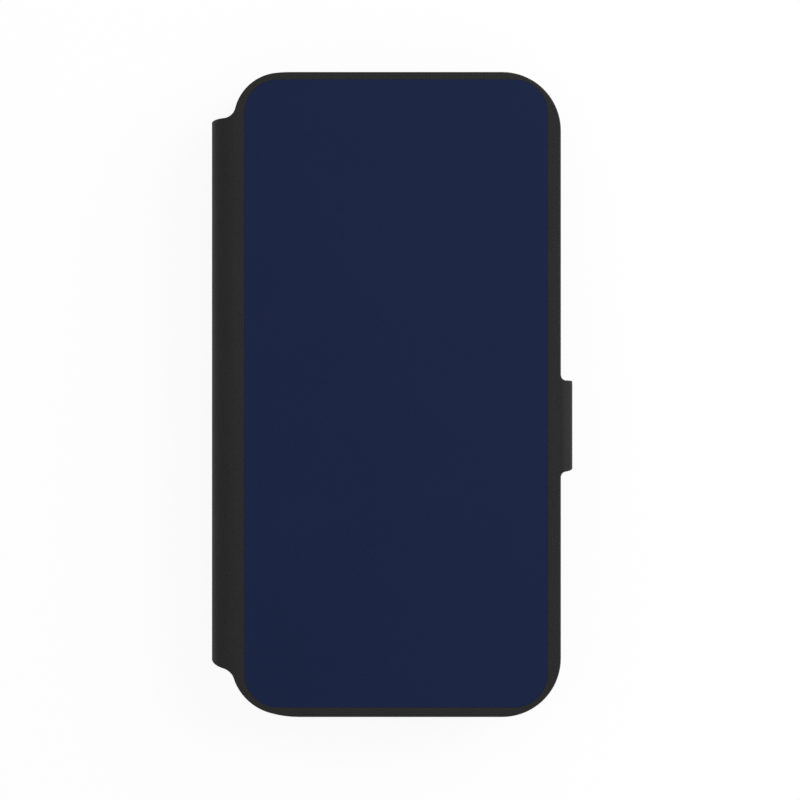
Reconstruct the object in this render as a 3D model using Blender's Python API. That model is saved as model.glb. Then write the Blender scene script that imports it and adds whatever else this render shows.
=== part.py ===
"""Phone wallet case: a folio cover of laminated sheets round a moulded phone shell.

The case lies on its back. +X points to the clasp side, +Y to the phone's top and +Z out of
the closed front cover. The origin is the middle of the back cover's outer face.
"""

import math

import bmesh
import bpy
from mathutils import Matrix, Vector

MM = 0.001

# Phone that the shell takes
PHONE_WIDTH = 71.5 * MM
PHONE_LENGTH = 146.7 * MM
PHONE_DEPTH = 7.65 * MM
PHONE_CORNER = 11.0 * MM
PHONE_CLEARANCE = 0.15 * MM

# Sheet stock, and the bond line left between two sheets
SKIN = 0.8 * MM
BOARD = 0.7 * MM
LINING = 0.4 * MM
POCKET = 0.4 * MM
TAPE = 0.2 * MM
SPINE_BOARD = 0.5 * MM
BOND = 0.2 * MM

# Moulded phone shell
SHELL_WALL = 1.7 * MM
SHELL_FLOOR = 1.2 * MM
LIP_HEIGHT = 0.8 * MM
LIP_REACH = 0.7 * MM
SHELL_ROUND = 2.0 * MM
RIM_ROUND = 0.4 * MM

# Covers
COVER_OVERHANG = 1.0 * MM
COVER_REST_GAP = 0.3 * MM
EDGE_ROUND = 0.4 * MM

# Corners beside the spine: a flatter arc leads into each, and each stands a little past the cover's side
LEAD_RADIUS = 25.0 * MM
LEAD_TURN_TOP = 7.75
LEAD_TURN_BOTTOM = 16.0
SPINE_CORNER_TOP = 11.1 * MM
SPINE_CORNER_BOTTOM = 12.7 * MM
CORNER_OUT_TOP = 0.1 * MM
CORNER_OUT_BOTTOM = 0.8 * MM

# Printed panel, as margins to the cover's edges
PANEL = 0.35 * MM
PANEL_SINK = 0.05 * MM
PANEL_GAP = 0.15 * MM
PANEL_MARGIN_LEFT = 2.5 * MM
PANEL_MARGIN_RIGHT = 3.2 * MM
PANEL_MARGIN_TOP = 1.9 * MM
PANEL_MARGIN_BOTTOM = 2.4 * MM
PANEL_CORNER = 7.8 * MM

# Spine: two quarter bends with a straight middle, each bend folded at a crease
SPINE_BULGE = 5.7 * MM
SPINE_RADIUS = 6.0 * MM
SPINE_INSET_TOP = 10.7 * MM
SPINE_INSET_BOTTOM = 11.05 * MM
SPINE_FILLET = 2.9 * MM
SPINE_RISE_TOP = 0.5 * MM
SPINE_RISE_BOTTOM = 1.95 * MM
SPINE_BOARD_INSET = 2.5 * MM
CREASE_ANGLE = 45.0
CREASE_GAP = 0.3 * MM

# Clasp tab
CLASP_TOP = 3.35 * MM
CLASP_BOTTOM = -18.25 * MM
CLASP_RADIUS = 2.9 * MM
CLASP_FILLET = 1.4 * MM
CLASP_CREASE = 45.0
CLASP_SLOPE_TOP = 1.0
CLASP_SLOPE_BOTTOM = 6.5
CLASP_TIP_HEIGHT = 1.5 * MM
CLASP_TIP_CORNER = 3.0 * MM
CLASP_PAD = 1.5 * MM

# Magnet in the shell's wall and steel keeper in the clasp
MAGNET_LENGTH = 15.0 * MM
MAGNET_HEIGHT = 5.0 * MM
MAGNET_DEPTH = 1.0 * MM
KEEPER_DEPTH = 0.8 * MM
MAGNET_FIT = 0.2 * MM

# Pockets in the front cover
CASH_MOUTH = 5.6 * MM
CARD_MARGIN_SPINE = 9.0 * MM
CARD_MARGIN_CLASP = 5.6 * MM
CARD_MARGIN_BOTTOM = 5.0 * MM
CARD_FIRST_MOUTH = 42.0 * MM
CARD_STEP = 12.0 * MM
CARD_COUNT = 3
CARD_CORNER = 2.5 * MM

# Camera window, as margins to the phone's edges, and the collar round it
CAMERA_WIDTH = 31.0 * MM
CAMERA_LENGTH = 33.0 * MM
CAMERA_CORNER = 8.0 * MM
CAMERA_MARGIN = 3.5 * MM
COLLAR_WALL = 1.2 * MM
COLLAR_SINK = 0.2 * MM
COLLAR_FIT = 0.3 * MM

# Adhesive sheet under the shell
TAPE_MARGIN = 4.0 * MM

# Openings in the shell's walls
PORT_LENGTH = 14.0 * MM
PORT_HEIGHT = 6.5 * MM
SPEAKER_LENGTH = 14.0 * MM
SPEAKER_HEIGHT = 3.0 * MM
SPEAKER_OFFSET = 19.0 * MM
MUTE_LENGTH = 11.0 * MM
MUTE_HEIGHT = 6.4 * MM
MUTE_Y = 46.0 * MM

# Button pads: place along Y and length
BUTTON_HEIGHT = 3.6 * MM
BUTTON_FIT = 0.3 * MM
BUTTON_PROUD = 0.5 * MM
BUTTON_SEAT = 0.1 * MM
BUTTON_ROUND = 0.35 * MM
VOLUME_LENGTH = 11.0 * MM
VOLUME_UP_Y = 33.0 * MM
VOLUME_DOWN_Y = 20.0 * MM
SIDE_LENGTH = 17.0 * MM
SIDE_Y = 27.0 * MM

# Facets
CORNER_STEPS = 8
LEAD_STEPS = 2
BEND_STEP = 7.5
CUT_MARGIN = 1.0 * MM

# Plan sizes that follow from the phone
SHELL_WIDTH = PHONE_WIDTH + 2 * (PHONE_CLEARANCE + SHELL_WALL)
SHELL_LENGTH = PHONE_LENGTH + 2 * (PHONE_CLEARANCE + SHELL_WALL)
SHELL_CORNER = PHONE_CORNER + PHONE_CLEARANCE + SHELL_WALL
COVER_RIGHT = SHELL_WIDTH / 2 + COVER_OVERHANG
COVER_TOP = SHELL_LENGTH / 2 + COVER_OVERHANG
COVER_CORNER = SHELL_CORNER + COVER_OVERHANG
SPINE_TOP = COVER_TOP - SPINE_INSET_TOP
SPINE_BOTTOM = -COVER_TOP + SPINE_INSET_BOTTOM
SPINE_OUT = -COVER_RIGHT - SPINE_BULGE
BEND_X = SPINE_OUT + SPINE_RADIUS
CAMERA_X = PHONE_WIDTH / 2 - CAMERA_MARGIN - CAMERA_WIDTH / 2
CAMERA_Y = PHONE_LENGTH / 2 - CAMERA_MARGIN - CAMERA_LENGTH / 2

# Heights of the stack, from the table up
BACK_BOARD_Z = SKIN + BOND
BACK_LINING_Z = BACK_BOARD_Z + BOARD + BOND
TAPE_Z = BACK_LINING_Z + LINING + BOND
SHELL_Z = TAPE_Z + TAPE + BOND
CAVITY_Z = SHELL_Z + SHELL_FLOOR
LIP_Z = CAVITY_Z + PHONE_DEPTH + PHONE_CLEARANCE
RIM_Z = LIP_Z + LIP_HEIGHT
CARD_Z = RIM_Z + COVER_REST_GAP
CASH_Z = CARD_Z + CARD_COUNT * (POCKET + BOND)
FRONT_LINING_Z = CASH_Z + POCKET + BOND
FRONT_BOARD_Z = FRONT_LINING_Z + LINING + BOND
FRONT_SKIN_Z = FRONT_BOARD_Z + BOARD + BOND
TOP_Z = FRONT_SKIN_Z + SKIN
KEY_Z = CAVITY_Z + PHONE_DEPTH / 2

# Developed lengths along the outer face of the skin
BEND_LENGTH = SPINE_RADIUS * math.pi / 2
SPINE_STRAIGHT = TOP_Z - 2 * SPINE_RADIUS
SPINE_DEVELOPED = 2 * BEND_LENGTH + SPINE_STRAIGHT
CREASE_AT = SPINE_RADIUS * math.radians(CREASE_ANGLE)
CLASP_BEND = CLASP_RADIUS * math.pi / 2
CLASP_CREASE_AT = CLASP_RADIUS * math.radians(CLASP_CREASE)
CLASP_END = CLASP_BEND + TOP_Z - CLASP_RADIUS - CLASP_TIP_HEIGHT
CLASP_Y = (CLASP_TOP + CLASP_BOTTOM) / 2
CARD_BOTTOM = -COVER_TOP + CARD_MARGIN_BOTTOM

# Corner radius, reach past the cover's side, lead-in turn and spine's end, at the top (1) and the bottom (-1)
SHOULDERS = {
    1: (SPINE_CORNER_TOP, CORNER_OUT_TOP, LEAD_TURN_TOP, SPINE_TOP),
    -1: (SPINE_CORNER_BOTTOM, CORNER_OUT_BOTTOM, LEAD_TURN_BOTTOM, -SPINE_BOTTOM),
}

# Finishes: colour, roughness, metallic
FINISHES = {
    "black_leather": ((0.026, 0.026, 0.026, 1.0), 0.55, 0.0),
    "navy_print": ((0.012, 0.019, 0.056, 1.0), 0.45, 0.0),
    "black_lining": ((0.018, 0.018, 0.018, 1.0), 0.85, 0.0),
    "greyboard": ((0.30, 0.28, 0.25, 1.0), 0.9, 0.0),
    "adhesive": ((0.55, 0.52, 0.45, 1.0), 0.4, 0.0),
    "black_tpu": ((0.015, 0.015, 0.016, 1.0), 0.45, 0.0),
    "nickel": ((0.62, 0.60, 0.57, 1.0), 0.25, 1.0),
}


def clear_scene():
    for obj in list(bpy.data.objects):
        bpy.data.objects.remove(obj, do_unlink=True)


def finish(name):
    """The material of that name, made once."""
    made = bpy.data.materials.get(name)
    if made:
        return made
    colour, roughness, metallic = FINISHES[name]
    made = bpy.data.materials.new(name)
    made.use_nodes = True
    shader = made.node_tree.nodes["Principled BSDF"]
    shader.inputs["Base Color"].default_value = colour
    shader.inputs["Roughness"].default_value = roughness
    shader.inputs["Metallic"].default_value = metallic
    return made


# Outlines

def arc(centre, radius, start, end, steps=CORNER_STEPS):
    """Points of an arc from the start angle to the end angle, in degrees."""
    angles = [math.radians(start + (end - start) * i / steps) for i in range(steps + 1)]
    return [(centre[0] + radius * math.cos(a), centre[1] + radius * math.sin(a)) for a in angles]


def rounded_box(left, right, low, high, radii):
    """Anticlockwise outline with a radius for each corner: low right, high right, high left, low left."""
    low_right, high_right, high_left, low_left = radii
    return (
        arc((right - low_right, low + low_right), low_right, -90, 0)
        + arc((right - high_right, high - high_right), high_right, 0, 90)
        + arc((left + high_left, high - high_left), high_left, 90, 180)
        + arc((left + low_left, low + low_left), low_left, 180, 270)
    )


def centred_box(x, y, width, height, radius):
    left, right = x - width / 2, x + width / 2
    return rounded_box(left, right, y - height / 2, y + height / 2, [radius] * 4)


def obround(x, y, length, height):
    """A slot with round ends that lies along the first axis."""
    end = height / 2
    reach = length / 2 - end
    return arc((x + reach, y), end, -90, 90) + arc((x - reach, y), end, 90, 270)


def clipped(outline, low, high):
    """The part of an outline with its first coordinate from low to high."""
    for bound, keeps_above in ((low, True), (high, False)):
        kept = []
        for i, here in enumerate(outline):
            before = outline[i - 1]
            inside = (here[0] >= bound) == keeps_above
            was_inside = (before[0] >= bound) == keeps_above
            if inside != was_inside:
                share = (bound - before[0]) / (here[0] - before[0])
                kept.append((bound, before[1] + share * (here[1] - before[1])))
            if inside:
                kept.append(here)
        outline = kept
    return outline


def corner_centre(side):
    """Centre of a corner beside the spine, drawn as at the top."""
    corner, out, lead_turn, _ = SHOULDERS[side]
    drop = (LEAD_RADIUS - corner) * math.cos(math.radians(lead_turn))
    return Vector((-COVER_RIGHT - out + corner, COVER_TOP - LEAD_RADIUS + drop))


def spine_corner(side, last):
    """A corner beside the spine, drawn as at the top: the lead-in arc, then the corner to its last angle."""
    corner, _, lead_turn, _ = SHOULDERS[side]
    centre = corner_centre(side)
    across = (LEAD_RADIUS - corner) * math.sin(math.radians(lead_turn))
    lead_centre = (centre.x + across, COVER_TOP - LEAD_RADIUS)
    lead_end = 90 + lead_turn
    return arc(lead_centre, LEAD_RADIUS, 90, lead_end, LEAD_STEPS) + arc(centre, corner, lead_end, last)[1:]


def cover_outline():
    """A cover's plan, with its own corner at each end of the spine's side."""
    right, corner = COVER_RIGHT - COVER_CORNER, COVER_CORNER
    bottom = [(x, -y) for x, y in spine_corner(-1, 180)]
    return (
        arc((right, -COVER_TOP + corner), corner, -90, 0)
        + arc((right, COVER_TOP - corner), corner, 0, 90)
        + spine_corner(1, 180)
        + bottom[::-1]
    )


def spine_shoulder(side):
    """Corner beside the spine, then the hollow fillet out to the spine's end, from the cover to the spine."""
    corner, _, _, end = SHOULDERS[side]
    centre = corner_centre(side)
    rise = end + SPINE_FILLET - centre.y
    across = math.sqrt((corner + SPINE_FILLET) ** 2 - rise**2)
    hollow = Vector((centre.x - across, end + SPINE_FILLET))
    meeting = math.degrees(math.atan2(rise, -across))
    points = spine_corner(side, meeting) + arc(hollow, SPINE_FILLET, meeting - 180, -90)[1:]
    return [(x, side * y) for x, y in points]


def clasp_edges(along):
    """Bottom and top edge of the clasp at a developed distance past the cover's edge."""
    past = max(0.0, along - CLASP_FILLET)
    low = CLASP_BOTTOM + past * math.tan(math.radians(CLASP_SLOPE_BOTTOM))
    high = CLASP_TOP - past * math.tan(math.radians(CLASP_SLOPE_TOP))
    return low, high


def clasp_root():
    """Right side of the front skin from the bottom up, with the part of the clasp before its crease."""
    past = COVER_RIGHT + CLASP_FILLET
    reach = CLASP_CREASE_AT - CREASE_GAP / 2
    low, high = clasp_edges(reach)
    return (
        arc((past, CLASP_BOTTOM - CLASP_FILLET), CLASP_FILLET, 180, 90, 4)
        + [(COVER_RIGHT + reach, low), (COVER_RIGHT + reach, high)]
        + arc((past, CLASP_TOP + CLASP_FILLET), CLASP_FILLET, 270, 180, 4)
    )


def half_skin(with_clasp):
    """Developed plan of one cover's skin and half the spine."""
    middle = BEND_X - SPINE_DEVELOPED / 2
    side = clasp_root() if with_clasp else []
    right, corner = COVER_RIGHT - COVER_CORNER, COVER_CORNER
    return (
        arc((right, -COVER_TOP + corner), corner, -90, 0)
        + side
        + arc((right, COVER_TOP - corner), corner, 0, 90)
        + spine_shoulder(1)
        + [(middle, SPINE_TOP), (middle, SPINE_BOTTOM)]
        + spine_shoulder(-1)[::-1]
    )


# Folding of developed sheets. A point is (across, along Y, depth under the outer face).

def spine_section(run, depth):
    """x and z at a developed distance from the front bend line, at a depth under the outer face."""
    if run < 0:
        return BEND_X - run, TOP_Z - depth
    if run <= BEND_LENGTH:
        angle = run / SPINE_RADIUS
        reach = SPINE_RADIUS - depth
        return BEND_X - reach * math.sin(angle), TOP_Z - SPINE_RADIUS + reach * math.cos(angle)
    if run <= SPINE_DEVELOPED / 2:
        return SPINE_OUT + depth, TOP_Z - SPINE_RADIUS - (run - BEND_LENGTH)
    x, z = spine_section(SPINE_DEVELOPED - run, depth)
    return x, TOP_Z - z


def clasp_section(run, depth):
    """x and z at a developed distance past the cover's right edge."""
    if run <= CLASP_BEND:
        angle = run / CLASP_RADIUS
        reach = CLASP_RADIUS - depth
        return COVER_RIGHT + reach * math.sin(angle), TOP_Z - CLASP_RADIUS + reach * math.cos(angle)
    return COVER_RIGHT + CLASP_RADIUS - depth, TOP_Z - CLASP_RADIUS - (run - CLASP_BEND)


def fold_front(point):
    """A point of the developed sheet, carried round the spine's bends or the clasp's fold."""
    across, y, depth = point
    if across > COVER_RIGHT:
        x, z = clasp_section(across - COVER_RIGHT, depth)
        return Vector((x, y, z))
    run = BEND_X - across
    x, z = spine_section(run, depth)
    lift = math.sin(math.pi * run / SPINE_DEVELOPED) ** 2 if run > 0 else 0.0
    share = (y - SPINE_BOTTOM) / (SPINE_TOP - SPINE_BOTTOM)
    y += lift * (SPINE_RISE_BOTTOM * (1 - share) - SPINE_RISE_TOP * share)
    return Vector((x, y, z))


def fold_back(point):
    """The same fold mirrored to the back cover."""
    folded = fold_front(point)
    return Vector((folded.x, folded.y, TOP_Z - folded.z))


# Solids

def extruded(outline, low, high):
    """A closed prism over an outline."""
    mesh = bmesh.new()
    face = mesh.faces.new([mesh.verts.new((x, y, low)) for x, y in outline])
    grown = bmesh.ops.extrude_face_region(mesh, geom=[face])["geom"]
    top = [item for item in grown if isinstance(item, bmesh.types.BMVert)]
    bmesh.ops.translate(mesh, verts=top, vec=(0, 0, high - low))
    bmesh.ops.recalc_face_normals(mesh, faces=mesh.faces)
    return mesh


def round_rim(mesh, level, radius, segments=2, keep_square=()):
    """Rounds the rim at one level, but not where it runs along a cut at one of the given x."""
    tiny = 0.01 * MM

    def on_rim(edge):
        ends = [v.co for v in edge.verts]
        if any(abs(c.z - level) > tiny for c in ends):
            return False
        return not any(all(abs(c.x - x) < tiny for c in ends) for x in keep_square)

    edges = [e for e in mesh.edges if on_rim(e)]
    bmesh.ops.bevel(
        mesh, geom=edges, offset=radius, segments=segments, profile=0.5, affect="EDGES", clamp_overlap=True
    )


def slice_across(mesh, places):
    """Adds edges at the given x, so that a flat sheet can follow a bend."""
    for x in places:
        geom = mesh.verts[:] + mesh.edges[:] + mesh.faces[:]
        bmesh.ops.bisect_plane(mesh, geom=geom, plane_co=(x, 0, 0), plane_no=(1, 0, 0), dist=1e-7)


def bend_places(low, high):
    """Where a developed sheet from low to high needs edges to follow the spine's and the clasp's bends."""
    turns = round(90 / BEND_STEP)
    steps = [i / turns for i in range(turns + 1)]
    places = [BEND_X - s * BEND_LENGTH for s in steps]
    places += [BEND_X - SPINE_DEVELOPED + s * BEND_LENGTH for s in steps]
    places += [COVER_RIGHT + s * CLASP_BEND for s in steps]
    margin = 0.02 * MM
    return [p for p in places if low + margin < p < high - margin]


def solid(name, mesh, material, parent=None, frame=None):
    """An object made from a bmesh. Its parent keeps it where it was modelled."""
    if frame:
        bmesh.ops.transform(mesh, matrix=frame, verts=mesh.verts)
    if mesh.calc_volume(signed=True) < 0:
        bmesh.ops.reverse_faces(mesh, faces=mesh.faces)
    data = bpy.data.meshes.new(name)
    mesh.to_mesh(data)
    mesh.free()
    obj = bpy.data.objects.new(name, data)
    bpy.context.scene.collection.objects.link(obj)
    if material:
        data.materials.append(finish(material))
    data.shade_smooth()
    data.set_sharp_from_angle(angle=math.radians(30))
    if parent:
        obj.parent = parent
        obj.matrix_parent_inverse = parent.matrix_world.inverted()
    return obj


def sheet(name, outline, low, thickness, material, parent):
    """A flat sheet of the given thickness."""
    return solid(name, extruded(outline, low, low + thickness), material, parent)


def folded_sheet(name, outline, depth, thickness, fold, material, parent, bounds):
    """A sheet cut from a developed outline between two places and folded round the case."""
    mesh = extruded(clipped(outline, *bounds), depth, depth + thickness)
    if depth == 0:
        round_rim(mesh, 0.0, EDGE_ROUND, keep_square=bounds)
    slice_across(mesh, bend_places(*bounds))
    for vert in mesh.verts:
        vert.co = fold(vert.co)
    return solid(name, mesh, material, parent)


def helper(name, mesh, frame=None):
    """A cutter or a shape to join, which isn't a piece of the case."""
    obj = solid(name, mesh, None, frame=frame)
    obj.hide_render = True
    obj.display_type = "WIRE"
    return obj


def combine(obj, other, operation="DIFFERENCE"):
    modifier = obj.modifiers.new(other.name, "BOOLEAN")
    modifier.operation = operation
    modifier.object = other


def pivot(name, x, y, z, parent=None):
    """An empty on a joint's axis, which carries the pieces that turn or slide there."""
    empty = bpy.data.objects.new(name, None)
    bpy.context.scene.collection.objects.link(empty)
    empty.location = (x, y, z)
    if parent:
        empty.parent = parent
        empty.matrix_parent_inverse = parent.matrix_world.inverted()
    bpy.context.view_layer.update()
    return empty


def wall_frame(side):
    """Turns a drawing in Y and Z, extruded along X, into the right (1) or left (-1) wall."""
    return Matrix(((0, 0, side, 0), (1, 0, 0, 0), (0, 1, 0, 0), (0, 0, 0, 1)))


def end_frame():
    """Turns a drawing in X and Z, extruded along Y, into the bottom wall."""
    return Matrix(((1, 0, 0, 0), (0, 0, -1, 0), (0, 1, 0, 0), (0, 0, 0, 1)))


# The case

def crease_axes():
    """Crease axes on the spine's outer face, first at the back cover and then at the front one."""
    return [spine_section(run, 0.0) for run in (SPINE_DEVELOPED - CREASE_AT, CREASE_AT)]


def make_pivots():
    """One empty for each moving body, in the order in which they carry each other."""
    pivots = {"back": pivot("back_body", 0, 0, 0)}
    names = ("spine", "front_cover")
    carrier = pivots["back"]
    for name, (x, z) in zip(names, crease_axes()):
        carrier = pivot(name + "_crease", x, 0, z, carrier)
        pivots[name] = carrier
    x, z = clasp_section(CLASP_CREASE_AT, 0.0)
    pivots["clasp"] = pivot("clasp_crease", x, CLASP_Y, z, carrier)
    return pivots


def camera_outline(grow):
    width, length = CAMERA_WIDTH + 2 * grow, CAMERA_LENGTH + 2 * grow
    return centred_box(CAMERA_X, CAMERA_Y, width, length, CAMERA_CORNER + grow)


def make_skins(pivots):
    """The outer skin, cut into a piece for each body at the creases, and the spine's inner layers."""
    cut = BEND_X - CREASE_AT
    gap = CREASE_GAP / 2
    cover = (cut + gap, COVER_RIGHT + CLASP_END)
    leather = "black_leather"
    front, back = half_skin(True), half_skin(False)
    front_skin = folded_sheet("front_skin", front, 0.0, SKIN, fold_front, leather, pivots["front_cover"], cover)
    back_skin = folded_sheet("back_skin", back, 0.0, SKIN, fold_back, leather, pivots["back"], cover)

    spine = pivots["spine"]
    far = BEND_X - SPINE_DEVELOPED
    strip = (far + CREASE_AT + gap, cut - gap)
    low, high = SPINE_BOTTOM, SPINE_TOP
    band = [(BEND_X, low), (BEND_X, high), (far, high), (far, low)]
    folded_sheet("spine_skin", band, 0.0, SKIN, fold_front, leather, spine, strip)
    depth = SKIN + BOND
    stiff = (far + BEND_LENGTH, BEND_X - BEND_LENGTH)
    core = [(x, y + math.copysign(SPINE_BOARD_INSET, -y)) for x, y in band]
    folded_sheet("spine_board", core, depth, SPINE_BOARD, fold_front, "greyboard", spine, stiff)
    depth += SPINE_BOARD + BOND
    folded_sheet("spine_lining", band, depth, LINING, fold_front, "black_lining", spine, strip)
    return front_skin, back_skin


def make_front_cover(front_skin, parent):
    """Panel, board, lining and pockets of the front cover."""
    left, right = -COVER_RIGHT + PANEL_MARGIN_LEFT, COVER_RIGHT - PANEL_MARGIN_RIGHT
    low, high = -COVER_TOP + PANEL_MARGIN_BOTTOM, COVER_TOP - PANEL_MARGIN_TOP
    panel_top = TOP_Z - PANEL_SINK
    panel = rounded_box(left, right, low, high, [PANEL_CORNER] * 4)
    gap = PANEL_GAP
    recess = rounded_box(left - gap, right + gap, low - gap, high + gap, [PANEL_CORNER + gap] * 4)
    recess_floor = panel_top - PANEL - gap
    combine(front_skin, helper("panel_recess", extruded(recess, recess_floor, TOP_Z + CUT_MARGIN)))
    mesh = extruded(panel, panel_top - PANEL, panel_top)
    round_rim(mesh, panel_top, PANEL_SINK, segments=1)
    solid("print_panel", mesh, "navy_print", parent)

    outline = cover_outline()
    flat = clipped(outline, BEND_X + BOND, COVER_RIGHT)
    sheet("front_board", flat, FRONT_BOARD_Z, BOARD, "greyboard", parent)
    sheet("front_lining", flat, FRONT_LINING_Z, LINING, "black_lining", parent)
    cash = clipped(outline, -COVER_RIGHT + CASH_MOUTH, COVER_RIGHT)
    sheet("cash_pocket", cash, CASH_Z, POCKET, "black_lining", parent)
    left, right = -COVER_RIGHT + CARD_MARGIN_SPINE, COVER_RIGHT - CARD_MARGIN_CLASP
    foot = COVER_CORNER - CARD_MARGIN_CLASP
    for i in range(CARD_COUNT):
        high = COVER_TOP - CARD_FIRST_MOUTH - i * CARD_STEP
        radii = (foot, CARD_CORNER, CARD_CORNER, foot)
        low_z = CASH_Z - (i + 1) * (POCKET + BOND)
        pocket = rounded_box(left, right, CARD_BOTTOM, high, radii)
        sheet(f"card_pocket_{i + 1}", pocket, low_z, POCKET, "black_lining", parent)


def make_back_cover(back_skin, parent):
    """Board and lining of the back cover, cut out round the camera collar, and the adhesive sheet below it."""
    flat = clipped(cover_outline(), BEND_X + BOND, COVER_RIGHT)
    layers = [
        back_skin,
        sheet("back_board", flat, BACK_BOARD_Z, BOARD, "greyboard", parent),
        sheet("back_lining", flat, BACK_LINING_Z, LINING, "black_lining", parent),
    ]
    hole = extruded(camera_outline(COLLAR_WALL + COLLAR_FIT), -CUT_MARGIN, SHELL_Z)
    cutter = helper("collar_hole", hole)
    for layer in layers:
        combine(layer, cutter)
    side, foot = SHELL_WIDTH / 2 - TAPE_MARGIN, SHELL_LENGTH / 2 - TAPE_MARGIN
    head = CAMERA_Y - CAMERA_LENGTH / 2 - COLLAR_WALL - TAPE_MARGIN
    tape = rounded_box(-side, side, -foot, head, [SHELL_CORNER - TAPE_MARGIN] * 4)
    sheet("shell_tape", tape, TAPE_Z, TAPE, "adhesive", parent)


def shell_cutters():
    """Everything that is cut out of the shell."""
    inner_width, inner_length = (size + 2 * PHONE_CLEARANCE for size in (PHONE_WIDTH, PHONE_LENGTH))
    inner_corner = PHONE_CORNER + PHONE_CLEARANCE
    cavity = centred_box(0, 0, inner_width, inner_length, inner_corner)
    yield helper("cavity", extruded(cavity, CAVITY_Z, LIP_Z))
    mouth_size = (inner_width - 2 * LIP_REACH, inner_length - 2 * LIP_REACH)
    mouth = centred_box(0, 0, *mouth_size, inner_corner - LIP_REACH)
    yield helper("mouth", extruded(mouth, LIP_Z - LIP_HEIGHT, RIM_Z + CUT_MARGIN))
    yield helper("camera_hole", extruded(camera_outline(0.0), -CUT_MARGIN, CAVITY_Z + CUT_MARGIN))

    inside, outside = inner_length / 2 - CUT_MARGIN, SHELL_LENGTH / 2 + CUT_MARGIN
    slots = [("port", 0.0, PORT_LENGTH, PORT_HEIGHT)]
    slots += [(f"speaker_{side}", side * SPEAKER_OFFSET, SPEAKER_LENGTH, SPEAKER_HEIGHT) for side in (-1, 1)]
    for name, x, length, height in slots:
        yield helper(name, extruded(obround(x, KEY_Z, length, height), inside, outside), end_frame())

    inside, outside = inner_width / 2 - CUT_MARGIN, SHELL_WIDTH / 2 + CUT_MARGIN
    mute = extruded(obround(MUTE_Y, KEY_Z, MUTE_LENGTH, MUTE_HEIGHT), inside, outside)
    yield helper("mute_slot", mute, wall_frame(-1))
    for name, side, y, length in BUTTONS:
        hole = obround(y, KEY_Z, length + 2 * BUTTON_FIT, BUTTON_HEIGHT + 2 * BUTTON_FIT)
        yield helper(name + "_hole", extruded(hole, inside, outside), wall_frame(side))

    fit = 2 * MAGNET_FIT
    pocket = centred_box(CLASP_Y, KEY_Z, MAGNET_LENGTH + fit, MAGNET_HEIGHT + fit, MAGNET_FIT)
    depth = inner_width / 2 + MAGNET_DEPTH + MAGNET_FIT
    yield helper("magnet_pocket", extruded(pocket, inside, depth), wall_frame(1))


def make_shell(parent):
    """The moulded tray that the phone clips into, with its magnet."""
    outer = centred_box(0, 0, SHELL_WIDTH, SHELL_LENGTH, SHELL_CORNER)
    mesh = extruded(outer, SHELL_Z, RIM_Z)
    round_rim(mesh, SHELL_Z, SHELL_ROUND, segments=3)
    round_rim(mesh, RIM_Z, RIM_ROUND)
    shell = solid("phone_shell", mesh, "black_tpu", parent)
    collar = extruded(camera_outline(COLLAR_WALL), COLLAR_SINK, SHELL_Z + SHELL_FLOOR / 2)
    combine(shell, helper("collar", collar), "UNION")
    for cutter in shell_cutters():
        combine(shell, cutter)
    inner = PHONE_WIDTH / 2 + PHONE_CLEARANCE
    bar = centred_box(CLASP_Y, KEY_Z, MAGNET_LENGTH, MAGNET_HEIGHT, MAGNET_FIT)
    solid("shell_magnet", extruded(bar, inner, inner + MAGNET_DEPTH), "nickel", parent, wall_frame(1))


BUTTONS = (
    ("volume_up_button", -1, VOLUME_UP_Y, VOLUME_LENGTH),
    ("volume_down_button", -1, VOLUME_DOWN_Y, VOLUME_LENGTH),
    ("side_button", 1, SIDE_Y, SIDE_LENGTH),
)


def make_buttons(parent):
    """Button pads, each in its opening in a side wall, on an empty in the middle of its face."""
    inner = PHONE_WIDTH / 2 + PHONE_CLEARANCE + BUTTON_SEAT
    face = SHELL_WIDTH / 2 + BUTTON_PROUD
    for name, side, y, length in BUTTONS:
        carrier = pivot(name + "_slide", side * face, y, KEY_Z, parent)
        mesh = extruded(obround(y, KEY_Z, length, BUTTON_HEIGHT), inner, face)
        round_rim(mesh, face, BUTTON_ROUND)
        solid(name, mesh, "black_tpu", carrier, wall_frame(side))


def make_clasp(parent):
    """Clasp tab past its crease: skin, pad and the steel keeper let into the pad."""
    start, end = CLASP_CREASE_AT + CREASE_GAP / 2, CLASP_END

    def tab(first):
        """Developed plan of the tab from a distance past the cover's edge to its tip."""
        low, high = clasp_edges(first)
        tip_low, tip_high = clasp_edges(end)
        corner = CLASP_TIP_CORNER
        tip = COVER_RIGHT + end - corner
        return (
            [(COVER_RIGHT + first, high), (COVER_RIGHT + first, low)]
            + arc((tip, tip_low + corner), corner, -90, 0)
            + arc((tip, tip_high - corner), corner, 0, 90)
        )

    bounds = (COVER_RIGHT + start, COVER_RIGHT + end)
    folded_sheet("clasp_skin", tab(start), 0.0, SKIN, fold_front, "black_leather", parent, bounds)
    pad_depth = SKIN + BOND
    pad_start = CLASP_BEND + BOND
    pad_bounds = (COVER_RIGHT + pad_start, COVER_RIGHT + end)
    pad = folded_sheet(
        "clasp_lining", tab(pad_start), pad_depth, CLASP_PAD, fold_front, "black_lining", parent, pad_bounds
    )
    fit = 2 * MAGNET_FIT
    face = COVER_RIGHT + CLASP_RADIUS - pad_depth
    pocket = centred_box(CLASP_Y, KEY_Z, MAGNET_LENGTH + fit, MAGNET_HEIGHT + fit, MAGNET_FIT)
    pocket_floor = face - KEEPER_DEPTH - MAGNET_FIT
    combine(pad, helper("keeper_pocket", extruded(pocket, pocket_floor, face + BOND), wall_frame(1)))
    keeper = centred_box(CLASP_Y, KEY_Z, MAGNET_LENGTH, MAGNET_HEIGHT, MAGNET_FIT)
    solid("clasp_keeper", extruded(keeper, face - KEEPER_DEPTH, face), "nickel", parent, wall_frame(1))


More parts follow.
